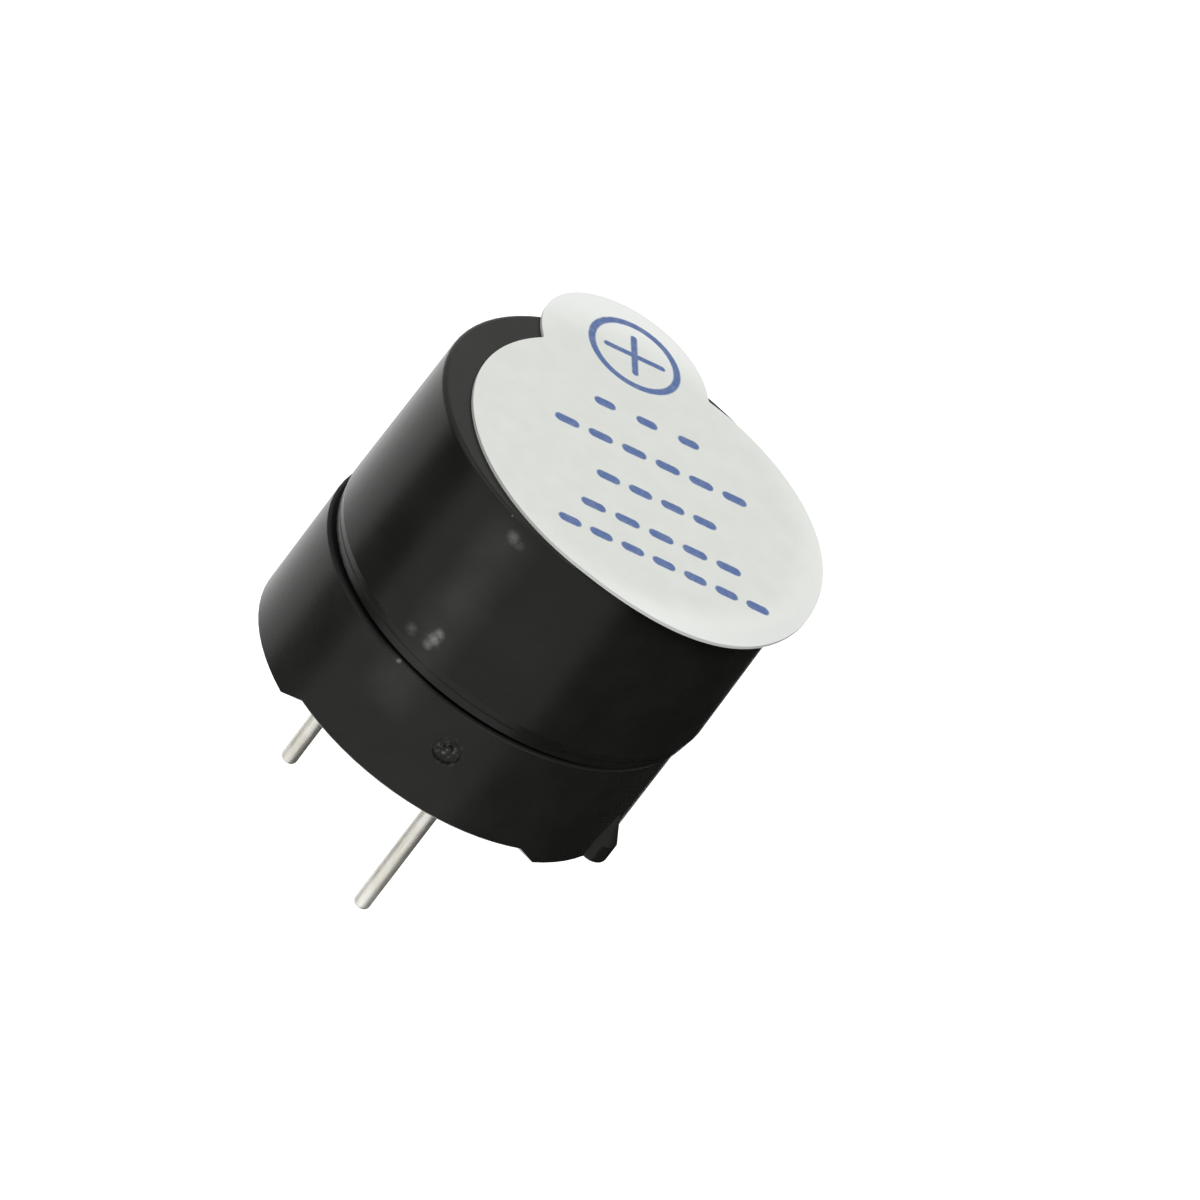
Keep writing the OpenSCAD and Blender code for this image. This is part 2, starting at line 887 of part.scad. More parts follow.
module potting() {
    color("#161616")
        difference() {
            on_base()
                potting_blank();
            copper_tracks();
            transistor_body();
            transistor_legs();
            resistor_body();
            resistor_caps();
            pin_solder();
            lead_solder();
            part_solder();
            positive_pin();
            negative_pin();
            drive_lead();
            common_lead();
            feedback_lead();
        }
}

cover();
base();
seal_label();
diaphragm();
armature_disc();
ring_magnet();
yoke_plate();
iron_core();
coil_bobbin();
drive_coil();
feedback_coil();
drive_lead();
feedback_lead();
common_lead();
circuit_board();
copper_tracks();
transistor_body();
transistor_legs();
resistor_body();
resistor_caps();
positive_pin();
negative_pin();
pin_solder();
lead_solder();
part_solder();
potting();
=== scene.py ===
import math

import bpy
from mathutils import Matrix, Vector


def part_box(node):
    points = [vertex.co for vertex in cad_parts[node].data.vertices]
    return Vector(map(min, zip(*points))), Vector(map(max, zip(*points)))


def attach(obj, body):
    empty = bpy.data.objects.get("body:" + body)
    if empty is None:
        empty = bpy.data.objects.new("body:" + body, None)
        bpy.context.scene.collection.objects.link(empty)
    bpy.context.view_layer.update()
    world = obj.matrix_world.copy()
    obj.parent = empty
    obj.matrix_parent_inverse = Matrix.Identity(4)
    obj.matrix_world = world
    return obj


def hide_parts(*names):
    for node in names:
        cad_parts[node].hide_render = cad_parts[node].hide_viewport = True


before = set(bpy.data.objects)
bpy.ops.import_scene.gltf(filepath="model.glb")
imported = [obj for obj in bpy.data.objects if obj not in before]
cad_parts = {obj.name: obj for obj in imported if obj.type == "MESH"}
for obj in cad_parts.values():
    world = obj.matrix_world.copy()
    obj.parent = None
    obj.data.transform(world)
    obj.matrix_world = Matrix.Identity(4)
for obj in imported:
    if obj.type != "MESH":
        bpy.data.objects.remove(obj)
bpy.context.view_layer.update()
mm = 0.001

# ---- Camera
# A long lens looks down on the buzzer from the negative pin's side. It is rolled, so that the
# housing's axis leans to the right in the view.
right_azimuth = math.radians(57.2)
camera_elevation = math.radians(30.74)
camera_roll = math.radians(52.56)
camera_distance = 600 * mm
aim = Vector((0.327, 0.508, 0.1)) * mm
aim_right, aim_up = 4.31 * mm, 2.99 * mm        # from there to the middle of the view

rightward = Vector((math.cos(right_azimuth), math.sin(right_azimuth), 0))
away = Vector((-math.sin(right_azimuth), math.cos(right_azimuth), 0))
upward = Vector((0, 0, 1))
climb = upward * math.cos(camera_elevation) + away * math.sin(camera_elevation)
camera_back = upward * math.sin(camera_elevation) - away * math.cos(camera_elevation)
camera_x = rightward * math.sin(camera_roll) + climb * math.cos(camera_roll)
camera_y = climb * math.sin(camera_roll) - rightward * math.cos(camera_roll)

lens = bpy.data.cameras.new("camera")
lens.sensor_width = 36
lens.lens = 645.3
lens.clip_start, lens.clip_end = 0.05, 10
camera = bpy.data.objects.new("camera", lens)
camera.matrix_world = Matrix.Translation(
    aim + camera_back * camera_distance + camera_x * aim_right + camera_y * aim_up
) @ Matrix((camera_x, camera_y, camera_back)).transposed().to_4x4()
bpy.context.scene.collection.objects.link(camera)
bpy.context.scene.camera = camera
bpy.context.scene.view_settings.view_transform = "Standard"


# ---- Studio
# A white sheet lies far below the buzzer, so its shadow falls outside the view. A black card
# stands on the right and a grey one on the left: the glossy sides show them as dark bands.
class Socket:
    """A socket in a node tree. Sums on it add Math nodes, and node() adds any other node."""

    def __init__(self, tree, socket=None):
        self.tree = tree
        self.socket = socket

    def node(self, kind, settings=None, sockets=None):
        """Adds a node: its type, its settings, and the values or links of its sockets."""
        made = self.tree.nodes.new(kind)
        for name, value in (settings or {}).items():
            setattr(made, name, value)
        for name, value in (sockets or {}).items():
            named = [s for s in made.inputs if s.enabled and s.name == name]
            target = named[0] if named else made.inputs[name]
            if isinstance(value, Socket):
                self.tree.links.new(value.socket, target)
            elif target.type == "RGBA":
                target.default_value = (*value[:3], 1)
            else:
                target.default_value = value
        return Socket(self.tree, next((s for s in made.outputs if s.enabled), None))

    def __getitem__(self, name):
        """Another output of the same node."""
        return Socket(self.tree, self.socket.node.outputs[name])

    def math(self, operation, *others):
        return self.node(
            "ShaderNodeMath", {"operation": operation}, dict(enumerate((self, *others)))
        )

    def __add__(self, other):
        return self.math("ADD", other)

    def __radd__(self, other):
        return self.math("ADD", other)

    def __sub__(self, other):
        return self.math("SUBTRACT", other)

    def __rsub__(self, other):
        return self.node("ShaderNodeMath", {"operation": "SUBTRACT"}, {0: other, 1: self})

    def __mul__(self, other):
        return self.math("MULTIPLY", other)

    def __rmul__(self, other):
        return self.math("MULTIPLY", other)

    def __truediv__(self, other):
        return self.math("DIVIDE", other)

    def __pow__(self, other):
        return self.math("POWER", other)

    def __abs__(self):
        return self.math("ABSOLUTE")

    def step(self, low, high):
        """0 below low and 1 above high, with a smooth step from one to the other."""
        return self.node(
            "ShaderNodeMapRange",
            {"interpolation_type": "SMOOTHSTEP"},
            {"Value": self, "From Min": low, "From Max": high},
        )

    def mix(self, first, second):
        """The first colour where this socket is 0, and the second where it is 1."""
        return self.node(
            "ShaderNodeMix", {"data_type": "RGBA"}, {"Factor": self, "A": first, "B": second}
        )

    def noise(self, scale, detail=2.0, roughness=0.5):
        """Noise over this vector, about 0.5 on average."""
        return self.node(
            "ShaderNodeTexNoise", None,
            {"Vector": self, "Scale": scale, "Detail": detail, "Roughness": roughness},
        )

    def into(self, node, name):
        """Feeds this socket into one of another node's."""
        self.tree.links.new(self.socket, node.inputs[name])


def srgb(red, green, blue):
    """A colour given as it looks, from 0 to 255, as the linear values that a shader takes."""
    return tuple(
        c / 255 / 12.92 if c <= 10 else ((c / 255 + 0.055) / 1.055) ** 2.4
        for c in (red, green, blue)
    )


def seen_white(tree):
    """1 for the rays by which the camera, a reflection or glass sees the background."""
    ray = Socket(tree).node("ShaderNodeLightPath")
    mirrored = ray["Is Glossy Ray"].math("MAXIMUM", ray["Is Transmission Ray"])
    return ray["Is Camera Ray"].math("MAXIMUM", mirrored)


def show(name, mesh):
    """A new object in the scene, with this mesh."""
    piece = bpy.data.objects.new(name, mesh)
    bpy.context.scene.collection.objects.link(piece)
    return piece


def card(name, corners, colour, glow):
    """A flat sheet of the studio. glow is what it adds for the rays that see it as background."""
    material = bpy.data.materials.new(name)
    material.use_nodes = True
    paper = material.node_tree.nodes["Principled BSDF"]
    paper.inputs["Roughness"].default_value = 0.9
    paper.inputs["Specular IOR Level"].default_value = 0.0
    paper.inputs["Emission Color"].default_value = (1, 1, 1, 1)
    fibre = Socket(material.node_tree).node("ShaderNodeTexCoord")["Object"].noise(20)
    fibre.mix([0.97 * c for c in colour], colour).into(paper, "Base Color")
    (seen_white(material.node_tree) * glow).into(paper, "Emission Strength")
    mesh = bpy.data.meshes.new(name)
    mesh.from_pydata([tuple(c) for c in corners], [], [range(len(corners))])
    mesh.materials.append(material)
    sheet = show(name, mesh)
    return sheet


floor_z, floor_r, floor_sides = -400 * mm, 3.0, 72
floor_white, floor_glow = srgb(236, 236, 234), 0.9
floor_turns = [math.radians(360 / floor_sides * i) for i in range(floor_sides)]
card(
    "studio_floor",
    [Vector((floor_r * math.cos(a), floor_r * math.sin(a), floor_z)) for a in floor_turns],
    floor_white, floor_glow,
)

card_top = 15 * mm


def standing_card(name, near, far, colour):
    """A card on the floor between two places, each given to the right and away in millimetres."""
    feet = [(rightward * right + away * back) * mm for right, back in (near, far)]
    corners = [
        feet[0] + upward * floor_z, feet[1] + upward * floor_z,
        feet[1] + upward * card_top, feet[0] + upward * card_top,
    ]
    sheet = card(name, corners, colour, 0.0)
    sheet.visible_camera = False


standing_card("black_card", (80, -88), (80, 415), srgb(38, 38, 38))
standing_card("grey_card", (-105, -48), (-88, 12), srgb(120, 120, 120))

ambient = 0.42
world = bpy.data.worlds.new("studio")
world.use_nodes = True
bpy.context.scene.world = world
sky = world.node_tree.nodes["Background"]
sky.inputs["Color"].default_value = (1, 1, 1, 1)
(seen_white(world.node_tree) * (1 - ambient) + ambient).into(sky, "Strength")


def softbox(name, towards, distance, size, share):
    """A square soft light that looks at the buzzer. share is its part of the light level."""
    light = bpy.data.lights.new(name, "AREA")
    light.size = size
    light.energy = share * math.pi ** 2 * distance ** 2
    lamp = bpy.data.objects.new(name, light)
    lamp.location = towards.normalized() * distance
    lamp.rotation_mode = "QUATERNION"
    lamp.rotation_quaternion = towards.to_track_quat("Z", "Y")
    bpy.context.scene.collection.objects.link(lamp)


softbox("key_light", camera_back * 0.5 + upward * 0.6 + rightward * 0.3, 0.7, 0.35, 0.45)
softbox("fill_light", upward * 0.7 - rightward * 0.6 - away * 0.2, 0.8, 0.5, 0.2)

# ---- Base
# The lower half of the housing, injection-moulded in black glass-filled plastic. It stands on
# three feet and carries everything else. Its gate left a rough round scar on the wall.
def bare_finish(name, roughness, metallic=0.0, specular=0.5):
    """A new material, its shader, and the places on the piece in millimetres."""
    material = bpy.data.materials.new(name)
    material.use_nodes = True
    shader = material.node_tree.nodes["Principled BSDF"]
    shader.inputs["Roughness"].default_value = roughness
    shader.inputs["Metallic"].default_value = metallic
    shader.inputs["Specular IOR Level"].default_value = specular
    start = Socket(material.node_tree)
    place = start.node(
        "ShaderNodeMapping", None,
        {"Vector": start.node("ShaderNodeTexCoord")["Object"], "Scale": (1 / mm,) * 3},
    )
    return material, shader, place


def relief(height, depth, shader):
    """Feeds a height, as a share of a depth in metres, into the shader's normal."""
    height.node("ShaderNodeBump", None, {"Height": height, "Distance": depth}).into(
        shader, "Normal")


def around(place, centre, radius):
    """1 at a centre given in millimetres, falling to 0 at a radius."""
    gap = place.node("ShaderNodeVectorMath", {"operation": "DISTANCE"}, {0: place, 1: centre})
    return 1 - gap["Value"].step(0.0, radius)


def dust(place, cell, share):
    """A mask of small specks. cell is their spacing, and share is how many of them are seen."""
    core, rim, soft = 0.02, 0.07, 0.02
    speck = place.node("ShaderNodeTexVoronoi", None, {"Vector": place, "Scale": 1 / cell})
    pick = place.node("ShaderNodeSeparateColor", None, {"Color": speck["Color"]})
    near = 1 - speck.step(core, rim)
    return near * pick.step(1 - share, 1 - share + soft)


def on_wall(axis, radius, angle, height):
    """A place on a round wall, in millimetres. The angle is in degrees from +X."""
    turn = math.radians(angle)
    return (
        axis.x / mm + radius * math.cos(turn), axis.y / mm + radius * math.sin(turn), height)


def sheen_band(place, axis, angle, spread, low, high):
    """A painted sheen's mask: a soft band up a round wall, between two heights in millimetres."""
    fade = 1.0
    split = place.node("ShaderNodeSeparateXYZ", None, {"Vector": place})
    turn = (split["Y"] - axis.y / mm).math("ARCTAN2", split["X"] - axis.x / mm)
    beside = abs(turn - math.radians(angle)).step(0.0, math.radians(spread))
    below_top = 1 - split["Z"].step(high - fade, high)
    return (1 - beside) * split["Z"].step(low, low + fade) * below_top


def moulded(name, dark, light, roughness, axis, specks, sheen, seam_shade, scar=None):
    """Black moulded plastic: flow lines and a fine grain from the mould, dust, and pale spots at
    listed places, with a painted sheen band up the wall and painted shade along the seam. A speck
    is a centre, a radius and a strength. The sheen band takes an angle, a spread and two heights.
    The seam shade is a dark line painted round the wall: a height, a half width and a strength.
    The scar is the gate's: a centre and a radius."""
    worn_and_sheen_grey, shade_black = srgb(166, 166, 161), srgb(6, 6, 6)
    fall_off, relief_depth = 1.7, 0.004 * mm
    material, shader, place = bare_finish(name, roughness, specular=0.12)
    flow = place.noise(0.5, 3.0, 0.6)
    grain = place.noise(14.0, 3.0, 0.65)
    crumbs = place.noise(7.0, 3.0, 0.65)
    marks_and_sheen = dust(place, 0.6, 0.06) * 0.5
    for centre, radius, strength in specks:
        patchy = crumbs.step(0.3, 0.65) * 0.45 + 0.55
        speck = around(place, centre, radius) ** fall_off * patchy * strength
        marks_and_sheen = marks_and_sheen.math("MAXIMUM", speck)
    # Painted sheen: a lighter band up the wall, where it reflects the light.
    marks_and_sheen = marks_and_sheen.math("MAXIMUM", sheen_band(place, axis, *sheen) * (flow * 0.1 + 0.02))
    height = grain * 0.25 + flow * 0.8 + marks_and_sheen * 1.5
    if scar:
        torn = around(place, *scar)
        marks_and_sheen = marks_and_sheen.math("MAXIMUM", torn * crumbs.step(0.5, 0.68) * 0.5)
        height = height + torn * crumbs * 6
    # Painted shade: a dark band painted round the wall along the seam, where shadow falls.
    edge_z, half, strength = seam_shade
    from_edge = abs(place.node("ShaderNodeSeparateXYZ", None, {"Vector": place})["Z"] - edge_z)
    seam_shade_band = (1 - from_edge.step(0.0, half)) * strength
    body = seam_shade_band.mix(flow.step(0.3, 0.75).mix(dark, light), shade_black)
    marks_and_sheen.mix(body, worn_and_sheen_grey).into(shader, "Base Color")
    rough = roughness - 0.05 + flow * 0.06 + grain * 0.04 + marks_and_sheen * 0.3
    (rough + seam_shade_band * 0.45).into(shader, "Roughness")
    relief(height, relief_depth, shader)
    return material


def dress(nodes, material):
    """Gives CAD nodes their material."""
    for node in nodes:
        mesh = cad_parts[node].data
        mesh.materials.clear()
        mesh.materials.append(material)


# The feet make the base's box lopsided, so its axis is the magnet's. The places and sizes of
# the spots, the scar, the painted sheen and the painted seam shade are in millimetres and
# degrees, as on_wall takes them.
magnet_low, magnet_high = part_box("ring_magnet")
base_axis = (magnet_low + magnet_high) / 2
base_r, shoulder_z = 5.955, 3.86
gate_angle, gate_z, scar_r = -24, 2.55, 0.6
base_plastic = moulded(
    "base_plastic", srgb(36, 36, 34), srgb(43, 43, 41), 0.27, base_axis,
    specks=[
        (on_wall(base_axis, base_r, -49.1, shoulder_z), 0.16, 1.6),
        (on_wall(base_axis, base_r, gate_angle - 2, gate_z + 0.3), 0.16, 0.2),
        (on_wall(base_axis, base_r, gate_angle + 3, gate_z - 0.25), 0.14, 0.2),
    ],
    # The next two are a painted sheen band and painted shade along the seam.
    sheen=(-46, 12, 2.0, 5.0),
    seam_shade=(shoulder_z, 0.16, 0.9),
    scar=(on_wall(base_axis, base_r, gate_angle, gate_z), scar_r),
)
dress(["base"], base_plastic)

# ---- Driver board
# A disc of tan paper laminate with its copper side down. A three-legged transistor and a chip
# resistor are soldered to it: they make the tone, so the buzzer needs only a steady voltage.
laminate, laminate_shader, board_place = bare_finish("board_laminate", 0.55, specular=0.4)
tan_dark, tan_light = srgb(196, 170, 116), srgb(214, 192, 142)
fibres = board_place.node(
    "ShaderNodeMapping", None, {"Vector": board_place, "Scale": (1.0, 7.0, 1.0)})
weave = fibres.noise(3.0, 4.0, 0.7)
weave.step(0.3, 0.7).mix(tan_dark, tan_light).into(laminate_shader, "Base Color")
(0.5 + weave * 0.15).into(laminate_shader, "Roughness")
relief(weave, 0.003 * mm, laminate_shader)
dress(["circuit_board"], laminate)


def metal(name, dark, light, roughness, stretch, scale, depth, metallic=1.0):
    """Bare metal. Its streaks run along the axes on which stretch is small."""
    material, shader, place = bare_finish(name, roughness, metallic)
    drawn = place.node("ShaderNodeMapping", None, {"Vector": place, "Scale": stretch})
    streaks = drawn.noise(scale, 3.0, 0.6)
    dull = place.noise(1.1, 3.0, 0.6)
    (streaks * 0.5 + dull * 0.5).step(0.35, 0.65).mix(dark, light).into(shader, "Base Color")
    (roughness - 0.08 + streaks * 0.1 + dull * 0.08).into(shader, "Roughness")
    relief(streaks, depth, shader)
    return material


dress(["copper_tracks"], metal(
    "track_copper", srgb(176, 112, 78), srgb(206, 140, 100), 0.34, (1, 1, 1), 6.0, 0.002 * mm))
dress(["transistor_legs", "resistor_caps"], metal(
    "tinned_metal", srgb(188, 188, 184), srgb(214, 214, 210), 0.3, (1, 1, 1), 8.0, 0.002 * mm))


def dull_body(name, dark, light, roughness, scale, depth):
    """A matt moulded or fired body with an even grain."""
    material, shader, place = bare_finish(name, roughness, specular=0.4)
    grain = place.noise(scale, 4.0, 0.65)
    grain.step(0.3, 0.7).mix(dark, light).into(shader, "Base Color")
    (roughness - 0.05 + grain * 0.1).into(shader, "Roughness")
    relief(grain, depth, shader)
    return material


dress(["transistor_body"], dull_body(
    "chip_plastic", srgb(36, 36, 38), srgb(46, 46, 48), 0.55, 18.0, 0.004 * mm))
dress(["resistor_body"], dull_body(
    "chip_ceramic", srgb(30, 30, 34), srgb(42, 42, 48), 0.35, 12.0, 0.002 * mm))

# ---- Pins and solder
# Two tinned steel wires, cut to different lengths: the longer one is positive. A swaged collar
# holds each in the resin, and the upper end is soldered into the board.
pin_metal = metal(
    "pin_metal", srgb(226, 222, 210), srgb(254, 253, 247), 0.44, (9.0, 9.0, 0.5), 3.0,
    0.006 * mm, metallic=0.55)
dress(["positive_pin", "negative_pin"], pin_metal)
dress(["pin_solder", "lead_solder", "part_solder"], metal(
    "solder", srgb(176, 176, 172), srgb(206, 206, 203), 0.26, (1, 1, 1), 5.0, 0.004 * mm))

# ---- Coil
# A plastic bobbin on the iron core carries two windings of enamelled copper wire, one over the
# other. Each is one wire, laid turn by turn up the bobbin and down again, layer over layer.
def new_tree(name, inputs):
    """A Geometry Nodes tree with named inputs. Each input is then taken by its name."""
    tree = bpy.data.node_groups.new(name, "GeometryNodeTree")
    tree.is_modifier = True
    tree.interface.new_socket("Geometry", in_out="INPUT", socket_type="NodeSocketGeometry")
    for title, kind in inputs.items():
        tree.interface.new_socket(title, in_out="INPUT", socket_type="NodeSocket" + kind)
    tree.interface.new_socket("Geometry", in_out="OUTPUT", socket_type="NodeSocketGeometry")
    return Socket(tree).node("NodeGroupInput")


def end_tree(shape, given):
    """The last nodes of a tree: smooth shading, no instances and the material."""
    shape = shape.node("GeometryNodeSetShadeSmooth", None, {"Geometry": shape})
    shape = shape.node("GeometryNodeRealizeInstances", None, {"Geometry": shape})
    shape = shape.node(
        "GeometryNodeSetMaterial", None, {"Geometry": shape, "Material": given["Material"]})
    shape.node("NodeGroupOutput", None, {"Geometry": shape})


def grow(name, given, values):
    """Runs a tree and keeps what it makes as a plain mesh object."""
    seed = show(name + "_seed", bpy.data.meshes.new(name + "_seed"))
    modifier = seed.modifiers.new("tree", "NODES")
    modifier.node_group = given.tree
    for item in given.tree.interface.items_tree:
        if item.in_out == "INPUT" and item.name in values:
            modifier[item.identifier] = values[item.name]
    graph = bpy.context.evaluated_depsgraph_get()
    mesh = bpy.data.meshes.new_from_object(seed.evaluated_get(graph), depsgraph=graph)
    mesh.name = name
    seed.modifiers.clear()
    bpy.data.objects.remove(seed)
    return show(name, mesh)


given = new_tree("layered_winding", {
    "Inner radius": "Float", "Outer radius": "Float", "Bottom": "Float", "Top": "Float",
    "Wire diameter": "Float", "Axis": "Vector", "Points in a turn": "Int",
    "Sides": "Int", "Material": "Material",
})
wire, turn_points = given["Wire diameter"], given["Points in a turn"]
wound_height = given["Top"] - given["Bottom"] - wire
turns = (wound_height / wire).math("FLOOR")
nesting = 0.87                      # a layer lies in the grooves of the one below it
layer_step = wire * nesting
layers = ((given["Outer radius"] - given["Inner radius"] - wire) / layer_step).math("FLOOR") + 1
path = given.node("GeometryNodeMeshLine", None, {
    "Count": layers * turns * turn_points, "Offset": (0.0, 0.0, 1 * mm)})
wound = given.node("GeometryNodeInputIndex") / turn_points
layer = (wound / turns).math("FLOOR")
radius = given["Inner radius"] + wire / 2 + layer * layer_step
angle = wound * math.tau
rise = given["Bottom"] + wire / 2 + wound.math("PINGPONG", turns) / turns * wound_height
turn_place = given.node("ShaderNodeVectorMath", {"operation": "ADD"}, {
    0: given["Axis"],
    1: given.node("ShaderNodeCombineXYZ", None, {
        "X": angle.math("COSINE") * radius, "Y": angle.math("SINE") * radius, "Z": rise}),
})
path = given.node("GeometryNodeSetPosition", None, {"Geometry": path, "Position": turn_place})
path = given.node("GeometryNodeMeshToCurve", None, {"Mesh": path})
section = given.node("GeometryNodeCurvePrimitiveCircle", None, {
    "Resolution": given["Sides"], "Radius": wire / 2})
tube = given.node("GeometryNodeCurveToMesh", None, {
    "Curve": path, "Profile Curve": section, "Fill Caps": True})
end_tree(tube, given)


def enamelled(name, dark, light):
    """Copper wire under a thin clear coat of enamel."""
    material, shader, place = bare_finish(name, 0.3, metallic=1.0)
    shader.inputs["Coat Weight"].default_value = 0.7
    shader.inputs["Coat Roughness"].default_value = 0.12
    tone = place.noise(2.5, 3.0, 0.6)
    tone.step(0.35, 0.65).mix(dark, light).into(shader, "Base Color")
    (0.26 + tone * 0.1).into(shader, "Roughness")
    return material


bobbin_tube_r = 1.24 * mm
drive_wire_d, feedback_wire_d = 0.16 * mm, 0.14 * mm
drive_wire = enamelled("drive_wire", srgb(150, 74, 34), srgb(176, 92, 44))
feedback_wire = enamelled("feedback_wire", srgb(184, 104, 56), srgb(208, 124, 70))
drive_low, drive_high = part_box("drive_coil")
outer_low, outer_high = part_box("feedback_coil")
drive_r = (drive_high.x - drive_low.x) / 2
feedback_r = (outer_high.x - outer_low.x) / 2
windings = [
    ("drive_winding", "drive_coil", "drive_wire", drive_wire,
     bobbin_tube_r, drive_r, drive_wire_d),
    ("feedback_winding", "feedback_coil", "feedback_wire", feedback_wire,
     drive_r, feedback_r, feedback_wire_d),
]
for name, node, slot, material, inner, outer, diameter in windings:
    winding = grow(name, given, {
        "Inner radius": inner, "Outer radius": outer, "Bottom": drive_low.z,
        "Top": drive_high.z, "Wire diameter": diameter,
        "Axis": (base_axis.x, base_axis.y, 0.0), "Points in a turn": 24, "Sides": 6,
        "Material": material,
    })
    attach(winding, "root")
    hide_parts(node)
dress(["drive_lead"], drive_wire)
dress(["feedback_lead", "common_lead"], feedback_wire)
dress(["coil_bobbin"], dull_body(
    "bobbin_plastic", srgb(222, 217, 200), srgb(234, 230, 216), 0.45, 6.0, 0.002 * mm))

# ---- Sound unit
# A yoke plate and a core of soft iron, a ring magnet of ferrite, and over them a thin steel
# diaphragm with a small iron disc welded to its middle, which the coil pulls up and down.
dress(["yoke_plate", "iron_core", "armature_disc"], metal(
    "soft_iron", srgb(128, 130, 134), srgb(158, 160, 163), 0.38, (1.0, 5.0, 1.0), 4.0,
    0.003 * mm))
dress(["ring_magnet"], dull_body(
    "ferrite", srgb(52, 52, 54), srgb(66, 66, 68), 0.7, 9.0, 0.012 * mm))
dress(["diaphragm"], metal(
    "diaphragm_steel", srgb(150, 148, 140), srgb(172, 170, 162), 0.3, (0.6, 6.0, 1.0), 5.0,
    0.002 * mm))

# ---- Cover
# The upper half, moulded in the same black plastic with a smoother face. It is a cup with a
# stepped bore, turned upside down over the base's spigot and glued there.
cover_low, cover_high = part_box("cover")
cover_axis = (cover_low + cover_high) / 2
cover_r = (cover_high.x - cover_low.x) / 2
cover_draft = 0.08 * mm
wall_r = cover_r / mm
upper_wall_r = wall_r - 0.07        # near the top, where the draft has taken most of its share
cover_plastic = moulded(
    "cover_plastic", srgb(32, 32, 30), srgb(39, 39, 37), 0.25, cover_axis,
    specks=[
        (on_wall(cover_axis, wall_r, -46.7, 4.92), 0.34, 0.65),
        (on_wall(cover_axis, wall_r, -46.2, 5.14), 0.38, 0.95),
        (on_wall(cover_axis, wall_r, -45.8, 5.38), 0.34, 0.7),
        (on_wall(cover_axis, wall_r, -46.2, 5.14), 0.7, 0.2),
        (on_wall(cover_axis, upper_wall_r, -45.8, 9.25), 0.42, 0.45),
        (on_wall(cover_axis, upper_wall_r, -43.5, 9.2), 0.4, 0.2),
        (on_wall(cover_axis, wall_r, -52.7, 4.87), 0.38, 0.28),
    ],
    # The next two are a painted sheen band and painted shade along the seam.
    sheen=(-47, 11, 3.4, 10.0),
    seam_shade=(4.3, 0.07, 0.6),
)
dress(["cover"], cover_plastic)

# ---- Label
# A pull-off seal of coated paper, printed in blue and glued over the sound port. Its tab marks
# the positive pin. Where it overhangs the cover on the other side, its edge sags over the rim.
cover_top_r = cover_r - cover_draft
label_inset, tab_inset = 0.24 * mm, 0.4 * mm
label_r = cover_top_r - label_inset
label_t = 0.1 * mm
label_shift, label_shift_angle = 0.8 * mm, math.radians(42)
tab_r, tab_angle = 2.72 * mm, math.radians(177)
tab_reach = label_r - tab_inset
corner_r = 0.18 * mm
sag_slope, sag_angle, sag_spread = 0.8, math.radians(22), math.radians(85)
sag_ease = 0.08 * mm
ripple, ripples_in_a_metre = 0.02, 450.0
ring_crowding = 0.6                 # under 1, it brings the rings closer towards the edge
sharp_bend = 0.8                    # in radians: only a sharper edge is shaded as one
weld = 1e-7

given = new_tree("sagging_seal", {
    "Disc radius": "Float", "Disc offset": "Float", "Offset angle": "Float",
    "Tab radius": "Float", "Tab reach": "Float", "Tab angle": "Float", "Corner radius": "Float",
    "Rim radius": "Float", "Sag slope": "Float", "Sag ease": "Float", "Sag angle": "Float",
    "Sag spread": "Float", "Ripple": "Float", "Thickness": "Float", "Axis": "Vector",
    "Rings": "Int", "Spokes": "Int", "Material": "Material",
})
rings, spokes = given["Rings"], given["Spokes"]
grid = given.node("GeometryNodeMeshGrid", None, {
    "Size X": 1.0, "Size Y": 1.0, "Vertices X": rings + 1, "Vertices Y": spokes + 1})
index = given.node("GeometryNodeInputIndex")
ring = (index / (spokes + 1)).math("FLOOR")
turn = (index - ring * (spokes + 1)) / spokes * math.tau
share = (ring / rings) ** ring_crowding
across = turn.math("SINE") * given["Tab reach"]
chord = (given["Tab radius"] ** 2 - across ** 2).math("MAXIMUM", 0.0).math("SQRT")
to_tab = turn.math("COSINE") * given["Tab reach"] + chord
edge = given["Disc radius"].math("SMOOTH_MAX", to_tab, given["Corner radius"])
reach = edge * share
x = ((turn + given["Tab angle"]).math("COSINE") * reach
     + given["Offset angle"].math("COSINE") * given["Disc offset"])
y = ((turn + given["Tab angle"]).math("SINE") * reach
     + given["Offset angle"].math("SINE") * given["Disc offset"])
over = ((x ** 2 + y ** 2).math("SQRT") - given["Rim radius"]).math("MAXIMUM", 0.0)
apart = abs(y.math("ARCTAN2", x) - given["Sag angle"]).math("MINIMUM", given["Sag spread"])
fall = (apart / given["Sag spread"] * (math.pi / 2)).math("COSINE") ** 2
drop = given["Sag slope"] * fall * over ** 2 / (over + given["Sag ease"])
flat_place = given.node("ShaderNodeCombineXYZ", None, {"X": x, "Y": y, "Z": 0.0})
wave = (flat_place.noise(ripples_in_a_metre, 1.0) - 0.5) * given["Ripple"] * over
sheet_place = given.node("ShaderNodeVectorMath", {"operation": "ADD"}, {
    0: given.node("ShaderNodeCombineXYZ", None, {"X": x, "Y": y, "Z": wave - drop}),
    1: given["Axis"]})
sheet_under = given.node("GeometryNodeSetPosition", None, {
    "Geometry": grid, "Position": sheet_place})
sheet_under = given.node("GeometryNodeMergeByDistance", None, {
    "Geometry": sheet_under, "Distance": weld})
lift = given.node("ShaderNodeCombineXYZ", None, {"X": 0.0, "Y": 0.0, "Z": given["Thickness"]})
raised = given.node("GeometryNodeExtrudeMesh", None, {
    "Mesh": sheet_under, "Offset": lift, "Offset Scale": 1.0, "Individual": False})
